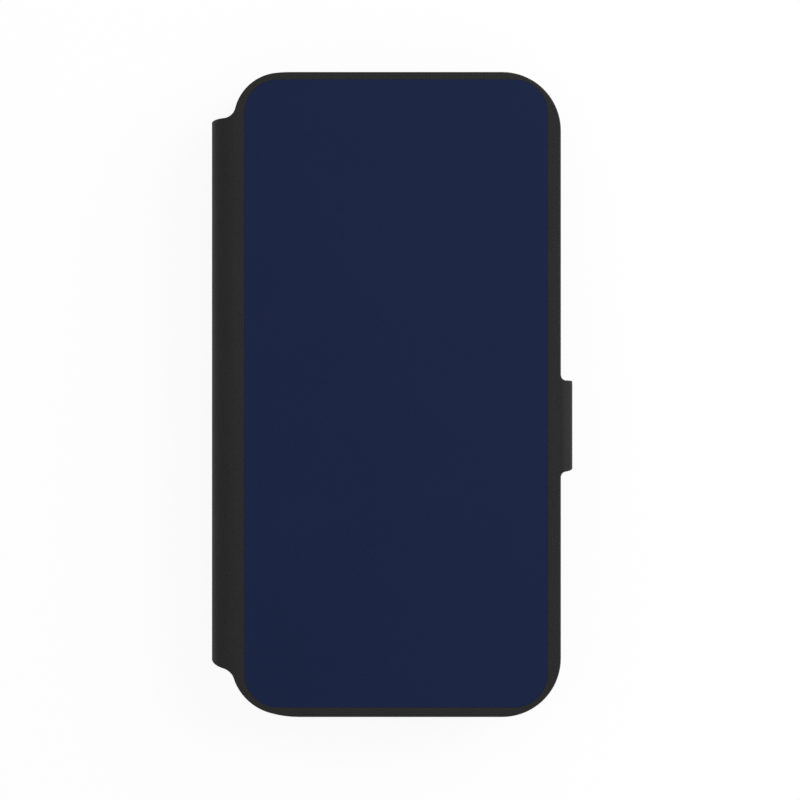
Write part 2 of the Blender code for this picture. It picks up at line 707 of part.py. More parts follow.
def main():
    clear_scene()
    pivots = make_pivots()
    front_skin, back_skin = make_skins(pivots)
    make_front_cover(front_skin, pivots["front_cover"])
    make_back_cover(back_skin, pivots["back"])
    make_shell(pivots["back"])
    make_buttons(pivots["back"])
    make_clasp(pivots["clasp"])


main()
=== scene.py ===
import math

import bmesh
import bpy
from mathutils import Matrix, Vector


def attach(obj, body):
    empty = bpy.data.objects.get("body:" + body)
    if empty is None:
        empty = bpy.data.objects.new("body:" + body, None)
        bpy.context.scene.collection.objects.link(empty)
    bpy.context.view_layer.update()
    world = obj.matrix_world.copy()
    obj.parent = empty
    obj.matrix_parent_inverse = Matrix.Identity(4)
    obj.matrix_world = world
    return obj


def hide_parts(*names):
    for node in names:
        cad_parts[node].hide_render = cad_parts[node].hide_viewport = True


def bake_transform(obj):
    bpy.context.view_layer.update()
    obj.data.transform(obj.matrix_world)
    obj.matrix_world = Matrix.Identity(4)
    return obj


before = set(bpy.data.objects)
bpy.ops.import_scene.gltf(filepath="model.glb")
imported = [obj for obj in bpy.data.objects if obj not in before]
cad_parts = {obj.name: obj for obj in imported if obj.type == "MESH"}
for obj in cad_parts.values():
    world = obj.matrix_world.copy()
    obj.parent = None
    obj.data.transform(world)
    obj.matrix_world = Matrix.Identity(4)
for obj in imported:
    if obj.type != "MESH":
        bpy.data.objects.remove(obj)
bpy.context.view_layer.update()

mm = 0.001
tiny = 0.01 * mm                  # two places this close are the same
weld = 0.001 * mm                 # points this close are merged
overcut = 1.0 * mm                # how far a cutter runs past what it cuts
levelFace = 0.9                   # a face looks up when its normal's z is more than this
scene = bpy.context.scene
scene.view_settings.view_transform = "Standard"


# The case as it was cut and folded, the same measures as the solids
case = {
    "right": 38.6 * mm,
    "top": 76.2 * mm,
    "corner": 13.85 * mm,
    "leadRadius": 25.0 * mm,      # flatter arc into each corner beside the spine
    "spineOut": -44.3 * mm,
    "bendRadius": 6.0 * mm,
    "spineFillet": 2.9 * mm,
    "thick": 17.7 * mm,
    "claspTop": 3.35 * mm,
    "claspBottom": -18.25 * mm,
    "claspRadius": 2.9 * mm,
    "claspFillet": 1.4 * mm,
    "claspSlopeTop": 1.0,         # degrees
    "claspSlopeBottom": 6.5,
    "claspTipHeight": 1.5 * mm,
    "claspTipCorner": 3.0 * mm,
}

# The two ends of the spine: rise is how far an end draws in round the bend
shoulders = {
    "top": {"corner": 11.1 * mm, "out": 0.1 * mm, "leadTurn": 7.75, "end": 65.5 * mm, "rise": 0.5 * mm},
    "bottom": {"corner": 12.7 * mm, "out": 0.8 * mm, "leadTurn": 16.0, "end": 65.15 * mm, "rise": 1.95 * mm},
}

bendX = case["spineOut"] + case["bendRadius"]
bendLength = case["bendRadius"] * math.pi / 2
spineStraight = case["thick"] - 2 * case["bendRadius"]
spineDeveloped = 2 * bendLength + spineStraight
spineMiddle = bendX - spineDeveloped / 2
claspBend = case["claspRadius"] * math.pi / 2
claspEnd = claspBend + case["thick"] - case["claspRadius"] - case["claspTipHeight"]
claspSeam = case["right"] + case["claspFillet"]
claspMiddle = (case["claspTop"] + case["claspBottom"]) / 2


# Drawing and shaping

arcSteps = {"plain": 16, "cover": 22, "window": 14, "pocket": 12, "slot": 10, "bar": 4}    # to a quarter turn


def drawOutline(bm, arcs, steps):
    # an arc is (centre x, centre y, radius, first angle, last angle), a plain corner has radius 0
    pen = first = None
    for x, y, radius, start, end in arcs:
        angle = math.radians(start)
        here = Vector((x + radius * math.cos(angle), y + radius * math.sin(angle), 0))
        if pen is None:
            pen = first = bm.verts.new(here)
        else:
            pen = bmesh.ops.extrude_vert_indiv(bm, verts=[pen])["verts"][0]
            pen.co = here
        if radius:
            count = max(2, math.ceil(steps * abs(end - start) / 90))
            sweep = math.radians(end - start)
            swept = bmesh.ops.spin(bm, geom=[pen], cent=(x, y, 0), axis=(0, 0, 1), angle=sweep, steps=count)
            pen = [item for item in swept["geom_last"] if isinstance(item, bmesh.types.BMVert)][0]
    bm.edges.new((pen, first))
    bmesh.ops.remove_doubles(bm, verts=bm.verts[:], dist=2 * weld)
    return bmesh.ops.edgeloop_fill(bm, edges=bm.edges[:])["faces"][0]


def makePlate(arcs, low, high, kind="plain"):
    bm = bmesh.new()
    face = drawOutline(bm, arcs, arcSteps[kind])
    bmesh.ops.translate(bm, verts=bm.verts[:], vec=(0, 0, low))
    grown = bmesh.ops.extrude_face_region(bm, geom=[face])["geom"]
    top = [item for item in grown if isinstance(item, bmesh.types.BMVert)]
    bmesh.ops.translate(bm, verts=top, vec=(0, 0, high - low))
    bmesh.ops.recalc_face_normals(bm, faces=bm.faces[:])
    return bm


def plainCorner(x, y):
    return (x, y, 0, 0, 0)


def boxArcs(left, right, low, high, radii):
    # radii run low right, high right, high left, low left
    a, b, c, d = radii
    return [
        (right - a, low + a, a, -90, 0),
        (right - b, high - b, b, 0, 90),
        (left + c, high - c, c, 90, 180),
        (left + d, low + d, d, 180, 270),
    ]


def centredArcs(x, y, width, height, radius):
    return boxArcs(x - width / 2, x + width / 2, y - height / 2, y + height / 2, [radius] * 4)


def slotArcs(x, y, length, height):
    end = height / 2
    reach = length / 2 - end
    return [(x + reach, y, end, -90, 90), (x - reach, y, end, 90, 270)]


def roundEdges(bm, edges, radius, segments):
    bmesh.ops.bevel(
        bm, geom=edges, offset=radius, offset_type="OFFSET", segments=segments, profile=0.5,
        affect="EDGES", material=-1, clamp_overlap=True,
    )


def softEdges(bm, radius, segments, test, sharp=50.0):
    # rounds the sharp edges whose two ends pass the test
    edges = [e for e in bm.edges if e.is_manifold and e.calc_face_angle(0) > math.radians(sharp)]
    roundEdges(bm, [e for e in edges if all(test(v.co) for v in e.verts)], radius, segments)


def sliceAt(bm, places, direction=(1, 0, 0)):
    for place in places:
        geom = bm.verts[:] + bm.edges[:] + bm.faces[:]
        bmesh.ops.bisect_plane(
            bm, geom=geom, plane_co=place * Vector(direction), plane_no=direction, dist=weld / 2
        )


def carve(bm, cutters):
    # cutters are (bmesh, operation); the result comes back as a bmesh
    made = []
    for shape in [bm] + [cutter for cutter, operation in cutters]:
        mesh = bpy.data.meshes.new("carving")
        shape.to_mesh(mesh)
        shape.free()
        made.append(bpy.data.objects.new("carving", mesh))
        scene.collection.objects.link(made[-1])
    for tool, (cutter, operation) in zip(made[1:], cutters):
        modifier = made[0].modifiers.new("carve", "BOOLEAN")
        modifier.operation = operation
        modifier.solver = "EXACT"
        modifier.object = tool
    bpy.context.view_layer.update()
    carved = bmesh.new()
    carved.from_mesh(made[0].evaluated_get(bpy.context.evaluated_depsgraph_get()).to_mesh())
    for tool in made:
        mesh = tool.data
        bpy.data.objects.remove(tool)
        bpy.data.meshes.remove(mesh)
    bmesh.ops.remove_doubles(carved, verts=carved.verts[:], dist=weld)
    return carved


def faceOutwards(bm):
    if bm.calc_volume(signed=True) < 0:
        bmesh.ops.reverse_faces(bm, faces=bm.faces[:])


def wallTurn(side):
    # a drawing in Y and Z, thickened along X, for the right (1) or left (-1) wall
    return Matrix(((0, 0, side, 0), (1, 0, 0, 0), (0, 1, 0, 0), (0, 0, 0, 1)))


# a drawing in X and Z, for the bottom wall
endTurn = Matrix(((1, 0, 0, 0), (0, 0, -1, 0), (0, 1, 0, 0), (0, 0, 0, 1)))


def turned(bm, matrix):
    bmesh.ops.transform(bm, matrix=matrix, verts=bm.verts[:])
    faceOutwards(bm)
    return bm


# Folding: a flat sheet lies at z = -depth, its outer face up, and goes round the spine or the clasp

def spineSection(run, depth):
    if run < 0:
        return bendX - run, case["thick"] - depth
    if run <= bendLength:
        angle = run / case["bendRadius"]
        reach = case["bendRadius"] - depth
        return bendX - reach * math.sin(angle), case["thick"] - case["bendRadius"] + reach * math.cos(angle)
    return case["spineOut"] + depth, case["thick"] - case["bendRadius"] - (run - bendLength)


def claspSection(run, depth):
    radius, right, top = case["claspRadius"], case["right"], case["thick"]
    if run <= claspBend:
        angle, reach = run / radius, radius - depth
        return right + reach * math.sin(angle), top - radius + reach * math.cos(angle)
    return right + radius - depth, top - radius - (run - claspBend)


def foldPoint(place):
    across, y, depth = place.x, place.y, -place.z
    if across > case["right"]:
        x, z = claspSection(across - case["right"], depth)
        return Vector((x, y, z))
    run = bendX - across
    x, z = spineSection(run, depth)
    lift = math.sin(math.pi * run / spineDeveloped) ** 2 if run > 0 else 0.0
    top, bottom = shoulders["top"], shoulders["bottom"]
    share = (y + bottom["end"]) / (top["end"] + bottom["end"])
    y += lift * (bottom["rise"] * (1 - share) - top["rise"] * share)
    return Vector((x, y, z))


def keepPlace(bm, toBack=False):
    # where each point lay on the flat sheet, the back running on past the spine's middle
    layer = bm.verts.layers.float_vector.new("flatPlace")
    for v in bm.verts:
        v[layer] = Vector((2 * spineMiddle - v.co.x, v.co.y, v.co.z)) if toBack else v.co


def foldSheet(bm, toBack=False):
    keepPlace(bm, toBack)
    for v in bm.verts:
        v.co = foldPoint(v.co)
        if toBack:
            v.co.z = case["thick"] - v.co.z
    faceOutwards(bm)


def addPiece(name, bm, material, body=None, replaced=(), sharp=38.0):
    # sharp is the angle in degrees from which an edge isn't shaded smooth
    if "flatPlace" not in bm.verts.layers.float_vector:
        keepPlace(bm)
    mesh = bpy.data.meshes.new(name)
    bm.to_mesh(mesh)
    bm.free()
    mesh.materials.append(material)
    mesh.shade_smooth()
    mesh.set_sharp_from_angle(angle=math.radians(sharp))
    piece = bpy.data.objects.new(name, mesh)
    scene.collection.objects.link(piece)
    even = piece.modifiers.new("evenNormals", "WEIGHTED_NORMAL")
    even.keep_sharp = True
    if body:
        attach(piece, body)
    if replaced:
        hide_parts(*replaced)
    return piece


# Shader effects shared by several finishes

def addNode(tree, kind, sockets=None, **settings):
    made = tree.nodes.new(kind)
    for key, value in settings.items():
        setattr(made, key, value)
    for key, value in (sockets or {}).items():
        if isinstance(value, bpy.types.NodeSocket):
            tree.links.new(value, made.inputs[key])
        else:
            made.inputs[key].default_value = value
    return made


def doMath(tree, operation, a, b=0.0):
    return addNode(tree, "ShaderNodeMath", {0: a, 1: b}, operation=operation).outputs[0]


def doVector(tree, operation, sockets):
    return addNode(tree, "ShaderNodeVectorMath", sockets, operation=operation).outputs


def doRange(tree, value, low, high, toLow=0.0, toHigh=1.0, smooth=False):
    made = addNode(
        tree, "ShaderNodeMapRange",
        {"Value": value, "From Min": low, "From Max": high, "To Min": toLow, "To Max": toHigh},
        interpolation_type="SMOOTHSTEP" if smooth else "LINEAR",
    )
    return made.outputs[0]


def doMix(tree, share, a, b):
    return addNode(tree, "ShaderNodeMix", {0: share, 6: a, 7: b}, data_type="RGBA").outputs[2]


def addNoise(tree, place, sockets):
    return addNode(tree, "ShaderNodeTexNoise", {"Vector": place, **sockets}).outputs


def turnPlace(tree, place, sockets):
    return addNode(tree, "ShaderNodeMapping", {"Vector": place, **sockets}).outputs[0]


def makeGroup(name, inputs, outputs):
    tree = bpy.data.node_groups.new(name, "ShaderNodeTree")
    for label, kind in inputs:
        tree.interface.new_socket(label, in_out="INPUT", socket_type=kind)
    for label in outputs:
        tree.interface.new_socket(label, in_out="OUTPUT", socket_type="NodeSocketFloat")
    return tree, tree.nodes.new("NodeGroupInput").outputs, tree.nodes.new("NodeGroupOutput").inputs


grainShape = {
    "drift": {"Scale": 700.0, "Detail": 2.0},       # makes the cells' edges waver
    "driftReach": 0.4 * mm,
    "smoothness": 0.5,
    "creaseWidth": 0.16,
    "creaseHeight": -0.45,
    "domeHeight": -0.6,
    "poreScale": 2.7,             # times the cells' own scale
    "poreDetail": 3.0,
    "poreHeight": 0.2,
    "tone": {"Scale": 55.0, "Detail": 4.0},
    "toneRange": (0.3, 0.7),
}


def makeGrainGroup(shape):
    # pebbled skin: cells with creases between them, pores, and slow changes of tone
    tree, into, out = makeGroup(
        "pebbledGrain",
        [("Place", "NodeSocketVector"), ("Scale", "NodeSocketFloat")],
        ["Height", "Crease", "Tone"],
    )
    drift = addNoise(tree, into["Place"], shape["drift"])["Color"]
    centred = doVector(tree, "SUBTRACT", {0: drift, 1: (0.5, 0.5, 0.5)})[0]
    small = doVector(tree, "SCALE", {0: centred, "Scale": shape["driftReach"]})[0]
    place = doVector(tree, "ADD", {0: into["Place"], 1: small})[0]
    lattice = {"Vector": place, "Scale": into["Scale"]}
    rounded = {**lattice, "Smoothness": shape["smoothness"]}
    cells = addNode(tree, "ShaderNodeTexVoronoi", rounded, feature="SMOOTH_F1").outputs["Distance"]
    edges = addNode(tree, "ShaderNodeTexVoronoi", lattice, feature="DISTANCE_TO_EDGE").outputs["Distance"]
    crease = doRange(tree, edges, 0.0, shape["creaseWidth"], 1.0, 0.0, smooth=True)
    poreScale = doMath(tree, "MULTIPLY", into["Scale"], shape["poreScale"])
    pores = addNoise(tree, place, {"Scale": poreScale, "Detail": shape["poreDetail"]})["Fac"]
    dome = doMath(tree, "MULTIPLY", cells, shape["domeHeight"])
    height = doMath(tree, "ADD", doMath(tree, "MULTIPLY", crease, shape["creaseHeight"]), dome)
    height = doMath(tree, "ADD", height, doMath(tree, "MULTIPLY", pores, shape["poreHeight"]))
    slow = addNoise(tree, into["Place"], shape["tone"])["Fac"]
    tree.links.new(height, out["Height"])
    tree.links.new(crease, out["Crease"])
    tree.links.new(doRange(tree, slow, *shape["toneRange"]), out["Tone"])
    return tree


rubShape = {
    "patch": {"Scale": 38.0, "Detail": 5.0, "Roughness": 0.6},
    "patchRange": (0.42, 0.68),
    "slant": {"Rotation": (0.0, 0.0, 0.6), "Scale": (1.0, 7.0, 1.0)},
    "scuff": {"Scale": 210.0, "Detail": 4.0},
    "scuffRange": (0.66, 0.8),
}


def makeRubGroup(shape):
    # faint rubbed patches and short scuffs from pockets and tables
    tree, into, out = makeGroup("rubbedPatches", [("Place", "NodeSocketVector")], ["Rub", "Scuff"])
    wide = addNoise(tree, into["Place"], shape["patch"])["Fac"]
    fine = addNoise(tree, turnPlace(tree, into["Place"], shape["slant"]), shape["scuff"])["Fac"]
    tree.links.new(doRange(tree, wide, *shape["patchRange"], smooth=True), out["Rub"])
    tree.links.new(doRange(tree, fine, *shape["scuffRange"], smooth=True), out["Scuff"])
    return tree


napShape = {
    "lie": {"Scale": (1.0, 0.28, 1.0)},
    "fibre": {"Scale": 5200.0, "Detail": 3.0},
    "clump": {"Scale": 900.0, "Detail": 3.0},
    "clumpHeight": 0.6,
    "stroke": {"Scale": 48.0, "Detail": 3.0, "Distortion": 1.2},
    "strokeRange": (0.35, 0.65),
}


def makeNapGroup(shape):
    # brushed microfibre: short fibres that lie one way, with strokes of nap
    tree, into, out = makeGroup("brushedNap", [("Place", "NodeSocketVector")], ["Height", "Stroke"])
    place = into["Place"]
    fibre = addNoise(tree, turnPlace(tree, place, shape["lie"]), shape["fibre"])["Fac"]
    clump = addNoise(tree, place, shape["clump"])["Fac"]
    stroke = addNoise(tree, place, shape["stroke"])["Fac"]
    height = doMath(tree, "ADD", fibre, doMath(tree, "MULTIPLY", clump, shape["clumpHeight"]))
    tree.links.new(height, out["Height"])
    tree.links.new(doRange(tree, stroke, *shape["strokeRange"], smooth=True), out["Stroke"])
    return tree


mouldShape = {
    "etch": {"Scale": 3600.0, "Detail": 2.0},
    "flow": {"Scale": 42.0, "Detail": 3.0, "Distortion": 0.8},
    "flowRange": (0.3, 0.7),
}


def makeMouldGroup(shape):
    # spark-etched mould surface with slow flow marks
    tree, into, out = makeGroup("etchedMould", [("Place", "NodeSocketVector")], ["Height", "Flow"])
    etch = addNoise(tree, into["Place"], shape["etch"])["Fac"]
    flow = addNoise(tree, into["Place"], shape["flow"])["Fac"]
    tree.links.new(etch, out["Height"])
    tree.links.new(doRange(tree, flow, *shape["flowRange"]), out["Flow"])
    return tree


effects = {
    "grain": makeGrainGroup(grainShape),
    "rub": makeRubGroup(rubShape),
    "nap": makeNapGroup(napShape),
    "mould": makeMouldGroup(mouldShape),
}


def placeEffect(tree, name, sockets):
    return addNode(tree, "ShaderNodeGroup", sockets, node_tree=effects[name]).outputs


def startMaterial(name, look):
    material = bpy.data.materials.new(name)
    material.use_nodes = True
    tree = material.node_tree
    shader = tree.nodes["Principled BSDF"].inputs
    shader["Specular IOR Level"].default_value = look["specular"]
    return material, tree, shader


def dressSurface(tree, shader, colour, rough, height, depth):
    bump = addNode(tree, "ShaderNodeBump", {"Height": height, "Distance": depth, "Strength": 1.0})
    tree.links.new(colour, shader["Base Color"])
    tree.links.new(rough, shader["Roughness"])
    tree.links.new(bump.outputs[0], shader["Normal"])


def flatPlace(tree):
    return addNode(tree, "ShaderNodeAttribute", attribute_name="flatPlace").outputs["Vector"]


def objectPlace(tree):
    return addNode(tree, "ShaderNodeTexCoord").outputs["Object"]


# Finishes

leatherLook = {
    "dark": (0.0180, 0.0177, 0.0178, 1.0),
    "light": (0.0208, 0.0204, 0.0205, 1.0),
    # black edge paint, darker than the face: also painted shade on the rounded rim and in the grain's creases
    "edgePaintAndShade": (0.0090, 0.0090, 0.0092, 1.0),
    "edgePaintAndShadeBand": (-0.06 * mm, -0.3 * mm),            # where the edge paint and its painted shade start and where they are whole
    "edgeGloss": 0.06,
    "pebble": 1500.0,             # cells to the metre
    "depth": 0.034 * mm,
    # how far the grain's creases are darkened: painted shade in the creases
    "creasePaintedShade": 0.35,
    "roughness": (0.54, 0.59),
    "scuffRoughness": 0.08,
    "specular": 0.10,
}

printLook = dict(
    leatherLook,
    dark=(0.0082, 0.0150, 0.0500, 1.0),
    light=(0.0086, 0.0156, 0.0516, 1.0),
    edgePaintAndShade=(0.0070, 0.0120, 0.0400, 1.0),
    pebble=1900.0,
    depth=0.016 * mm,
    roughness=(0.55, 0.58),
    specular=0.06,
)

pocketLook = dict(
    leatherLook,
    dark=(0.0160, 0.0159, 0.0160, 1.0),
    light=(0.0186, 0.0184, 0.0183, 1.0),
    pebble=1800.0,
    roughness=(0.53, 0.57),
)


def makeLeather(name, look, edged=True):
    material, tree, shader = startMaterial(name, look)
    place = flatPlace(tree)
    grain = placeEffect(tree, "grain", {"Place": place, "Scale": look["pebble"]})
    rub = placeEffect(tree, "rub", {"Place": place})
    colour = doMix(tree, grain["Tone"], look["dark"], look["light"])
    # painted shade: the grain's creases darkened towards the edge colour
    shade = doMath(tree, "MULTIPLY", grain["Crease"], look["creasePaintedShade"])
    colour = doMix(tree, shade, colour, look["edgePaintAndShade"])
    low, high = look["roughness"]
    rough = doRange(tree, rub["Rub"], 0.0, 1.0, high, low)
    rough = doMath(tree, "ADD", rough, doMath(tree, "MULTIPLY", rub["Scuff"], look["scuffRoughness"]))
    if edged:    # painted edges: black edge paint, kept darker than the face so it also carries painted shade on the rounded rim, told by the depth under the outer face
        axes = addNode(tree, "ShaderNodeSeparateXYZ", {0: place}).outputs
        edge = doRange(tree, axes["Z"], *look["edgePaintAndShadeBand"], smooth=True)
        colour = doMix(tree, edge, colour, look["edgePaintAndShade"])
        rough = doMath(tree, "SUBTRACT", rough, doMath(tree, "MULTIPLY", edge, look["edgeGloss"]))
    dressSurface(tree, shader, colour, rough, grain["Height"], look["depth"])
    return material


liningLook = {
    "dark": (0.0128, 0.0128, 0.0132, 1.0),
    "light": (0.0160, 0.0160, 0.0164, 1.0),
    "depth": 0.03 * mm,
    "napRange": (0.4, 1.2),
    "roughness": (0.95, 0.8),
    "sheen": 0.18,
    "sheenRoughness": 0.45,
    "specular": 0.12,
}


def makeLining(name, look):
    material, tree, shader = startMaterial(name, look)
    nap = placeEffect(tree, "nap", {"Place": flatPlace(tree)})
    colour = doMix(tree, nap["Stroke"], look["dark"], look["light"])
    rough = doRange(tree, nap["Height"], *look["napRange"], *look["roughness"])
    dressSurface(tree, shader, colour, rough, nap["Height"], look["depth"])
    shader["Sheen Weight"].default_value = look["sheen"]
    shader["Sheen Roughness"].default_value = look["sheenRoughness"]
    return material


coreLook = {
    "dark": (0.0080, 0.0080, 0.0082, 1.0),
    "light": (0.0140, 0.0138, 0.0136, 1.0),
    "plies": {"Scale": (1.0, 1.0, 9.0)},
    "fibre": {"Scale": 1400.0, "Detail": 4.0},
    "fibreRange": (0.3, 0.7),
    "depth": 0.02 * mm,
    "roughness": (0.6, 0.75),
    "specular": 0.25,
}


def makeCore(name, look):
    # fibre board, its cut edge sealed with black paint
    material, tree, shader = startMaterial(name, look)
    fibre = addNoise(tree, turnPlace(tree, flatPlace(tree), look["plies"]), look["fibre"])["Fac"]
    colour = doMix(tree, fibre, look["dark"], look["light"])
    rough = doRange(tree, fibre, *look["fibreRange"], *look["roughness"])
    dressSurface(tree, shader, colour, rough, fibre, look["depth"])
    return material


mouldLook = {
    "dark": (0.0130, 0.0130, 0.0134, 1.0),
    "light": (0.0146, 0.0146, 0.0150, 1.0),
    "depth": 0.006 * mm,
    "roughness": (0.45, 0.50),
    "rubGloss": 0.03,
    "specular": 0.35,
}


def makeMoulded(name, look):
    material, tree, shader = startMaterial(name, look)
    place = objectPlace(tree)
    mould = placeEffect(tree, "mould", {"Place": place})
    rub = placeEffect(tree, "rub", {"Place": place})
    colour = doMix(tree, mould["Flow"], look["dark"], look["light"])
    rough = doRange(tree, mould["Flow"], 0.0, 1.0, *look["roughness"])
    rough = doMath(tree, "SUBTRACT", rough, doMath(tree, "MULTIPLY", rub["Rub"], look["rubGloss"]))
    dressSurface(tree, shader, colour, rough, mould["Height"], look["depth"])
    return material


nickelLook = {
    "plain": (0.60, 0.585, 0.56, 1.0),
    "rubbed": (0.70, 0.69, 0.665, 1.0),
    "ground": {"Scale": (6.0, 0.25, 6.0)},
    "lines": {"Scale": 1500.0, "Detail": 3.0},
    "lineRange": (0.3, 0.7),
    "depth": 0.002 * mm,
    "roughness": (0.28, 0.36),
    "specular": 0.5,
}


def makeNickel(name, look):
    # plated bar, ground along its length, with a little haze
    material, tree, shader = startMaterial(name, look)
    place = objectPlace(tree)
    lines = addNoise(tree, turnPlace(tree, place, look["ground"]), look["lines"])["Fac"]
    rub = placeEffect(tree, "rub", {"Place": place})
    colour = doMix(tree, rub["Rub"], look["plain"], look["rubbed"])
    rough = doRange(tree, lines, *look["lineRange"], *look["roughness"])
    dressSurface(tree, shader, colour, rough, lines, look["depth"])
    shader["Metallic"].default_value = 1.0
    return material


tapeLook = {
    "cell": (0.055, 0.055, 0.057, 1.0),
    "wall": (0.030, 0.030, 0.031, 1.0),
    "cells": 4200.0,              # to the metre
    "cellRange": (0.0, 0.7),
    "depth": 0.05 * mm,
    "roughness": (0.6, 0.85),
    "specular": 0.2,
}


def makeTape(name, look):
    # grey foam tape, open cells at its cut edge
    material, tree, shader = startMaterial(name, look)
    sockets = {"Vector": objectPlace(tree), "Scale": look["cells"]}
    cells = addNode(tree, "ShaderNodeTexVoronoi", sockets).outputs["Distance"]
    colour = doMix(tree, cells, look["cell"], look["wall"])
    rough = doRange(tree, cells, *look["cellRange"], *look["roughness"])
    dressSurface(tree, shader, colour, rough, cells, look["depth"])
    return material


threadLook = {
    "dark": (0.018, 0.018, 0.019, 1.0),
    "light": (0.050, 0.050, 0.052, 1.0),
    "turn": {"Rotation": (0.0, 0.0, 0.8)},
    "twist": {"Scale": 900.0, "Distortion": 0.4, "Detail": 1.0},
    "depth": 0.03 * mm,
    "roughness": (0.75, 0.55),
    "specular": 0.25,
}


def makeThread(name, look):
    # twisted polyester, charcoal
    material, tree, shader = startMaterial(name, look)
    sockets = {"Vector": turnPlace(tree, objectPlace(tree), look["turn"]), **look["twist"]}
    twist = addNode(tree, "ShaderNodeTexWave", sockets).outputs["Fac"]
    colour = doMix(tree, twist, look["dark"], look["light"])
    rough = doRange(tree, twist, 0.0, 1.0, *look["roughness"])
    dressSurface(tree, shader, colour, rough, twist, look["depth"])
    return material


finishes = {
    "leather": makeLeather("blackGrainLeather", leatherLook),
    "print": makeLeather("navyPrint", printLook, edged=False),
    "pocket": makeLeather("pocketLeather", pocketLook, edged=False),
    "lining": makeLining("blackMicrofibre", liningLook),
    "core": makeCore("blackBoard", coreLook),
    "mould": makeMoulded("blackMoulding", mouldLook),
    "nickel": makeNickel("platedNickel", nickelLook),
    "tape": makeTape("foamTape", tapeLook),
    "thread": makeThread("charcoalThread", threadLook),
}
print("finishes made:", len(finishes))


# The laminated covers: leather, board and lining, each cut flat and folded round half the spine

def shoulderArcs(end, inset):
    # the flatter arc, the corner and the hollow out to the spine, drawn as at the top
    size, lead, fillet = shoulders[end], case["leadRadius"], case["spineFillet"]
    corner, turn = size["corner"], math.radians(size["leadTurn"])
    x = -case["right"] - size["out"] + corner
    y = case["top"] - lead + (lead - corner) * math.cos(turn)
    rise = size["end"] + fillet - y
    across = math.sqrt((corner + fillet) ** 2 - rise**2)
    meeting = math.degrees(math.atan2(rise, -across))
    leadEnd = 90 + size["leadTurn"]
    return [
        (x + (lead - corner) * math.sin(turn), case["top"] - lead, lead - inset, 90, leadEnd),
        (x, y, corner - inset, leadEnd, meeting),
        (x - across, size["end"] + fillet, fillet + inset, meeting - 180, -90),
    ]


def atBottom(arcs):
    # arcs drawn as at the top, turned over and run backwards
    return [(x, -y, radius, -end, -start) for x, y, radius, start, end in arcs[::-1]]


def coverArcs(inset, claspRoot=False):
    top, corner = case["top"], case["corner"]
    middle = case["right"] - corner
    arcs = [(middle, -top + corner, corner - inset, -90, 0)]
    if claspRoot:
        bend = case["claspFillet"]
        arcs += [
            (claspSeam, case["claspBottom"] - bend, bend, 180, 90),
            (claspSeam, case["claspTop"] + bend, bend, 270, 180),
        ]
    arcs.append((middle, top - corner, corner - inset, 0, 90))
    arcs += shoulderArcs("top", inset)
    arcs.append(plainCorner(spineMiddle, shoulders["top"]["end"] - inset))
    arcs.append(plainCorner(spineMiddle, -shoulders["bottom"]["end"] + inset))
    return arcs + atBottom(shoulderArcs("bottom", inset))


def bendPlaces(low, high, turns=26):
    places = [bendX - i / turns * bendLength for i in range(turns + 1)]
    places += [case["right"] + i / turns * claspBend for i in range(turns + 1)]
    return [p for p in places if low + 2 * tiny < p < high - 2 * tiny]


panelSizes = {
    "left": -36.1 * mm,
    "right": 35.4 * mm,
    "low": -73.8 * mm,
    "high": 74.3 * mm,
    "corner": 7.8 * mm,
    "groove": 0.09 * mm,          # from the panel's line out to the recess
    "sink": 0.55 * mm,            # recess in the leather
}

collarHole = {
    "x": 16.75 * mm,
    "y": 53.35 * mm,
    "width": 34.0 * mm,
    "length": 36.0 * mm,
    "corner": 9.5 * mm,
    "reach": 5.0 * mm,            # of the cutter, up and down
}

layers = {
    "leather": {"from": 0.0, "to": 0.8 * mm, "inset": 0.0, "round": 0.4 * mm, "segments": 5},
    "core": {"from": 0.8 * mm, "to": 1.9 * mm, "inset": 0.12 * mm, "round": 0.0, "segments": 0},
    "lining": {"from": 1.9 * mm, "to": 2.3 * mm, "inset": 0.0, "round": 0.15 * mm, "segments": 2},
}
rimAngle = 0.9                    # radians from which an edge is a rim


def panelArcs(grow):
    left, right = panelSizes["left"] - grow, panelSizes["right"] + grow
    low, high = panelSizes["low"] - grow, panelSizes["high"] + grow
    return boxArcs(left, right, low, high, [panelSizes["corner"] + grow] * 4)


def makeLayer(name, layer, cover, replaced):
    size = layers[layer]
    front = cover == "front"
    withClasp = front and layer == "leather"
    bm = makePlate(coverArcs(size["inset"], withClasp), -size["to"], -size["from"], "cover")
    low, high = spineMiddle, claspSeam if withClasp else case["right"]
    cutters = []
    if withClasp:
        recess = makePlate(panelArcs(panelSizes["groove"]), -panelSizes["sink"], overcut, "cover")
        cutters.append((recess, "DIFFERENCE"))
    if not front:
        hole = collarHole
        arcs = centredArcs(hole["x"], hole["y"], hole["width"], hole["length"], hole["corner"])
        cutters.append((makePlate(arcs, -hole["reach"], hole["reach"], "window"), "DIFFERENCE"))
    if cutters:
        bm = carve(bm, cutters)
    face, hidden = -size["from"], -size["to"]
    if layer == "lining":
        face, hidden = hidden, face

    def onRim(edge):
        # along the face that shows, beside a wall that runs right through the layer
        through = any(abs(v.co.z - hidden) < tiny for side in edge.link_faces for v in side.verts)
        return through and all(abs(v.co.z - face) < tiny for v in edge.verts)

    def onSeam(edge):
        seams = (low, high) if withClasp else (low,)
        return any(all(abs(v.co.x - seam) < tiny for v in edge.verts) for seam in seams)

    if size["round"]:
        edges = [e for e in bm.edges if e.calc_face_angle(0) > rimAngle and onRim(e) and not onSeam(e)]
        roundEdges(bm, edges, size["round"], size["segments"])
    sliceAt(bm, bendPlaces(low, high))
    foldSheet(bm, toBack=not front)
    piece = addPiece(name, bm, finishes[layer], replaced=replaced)
    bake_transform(piece)


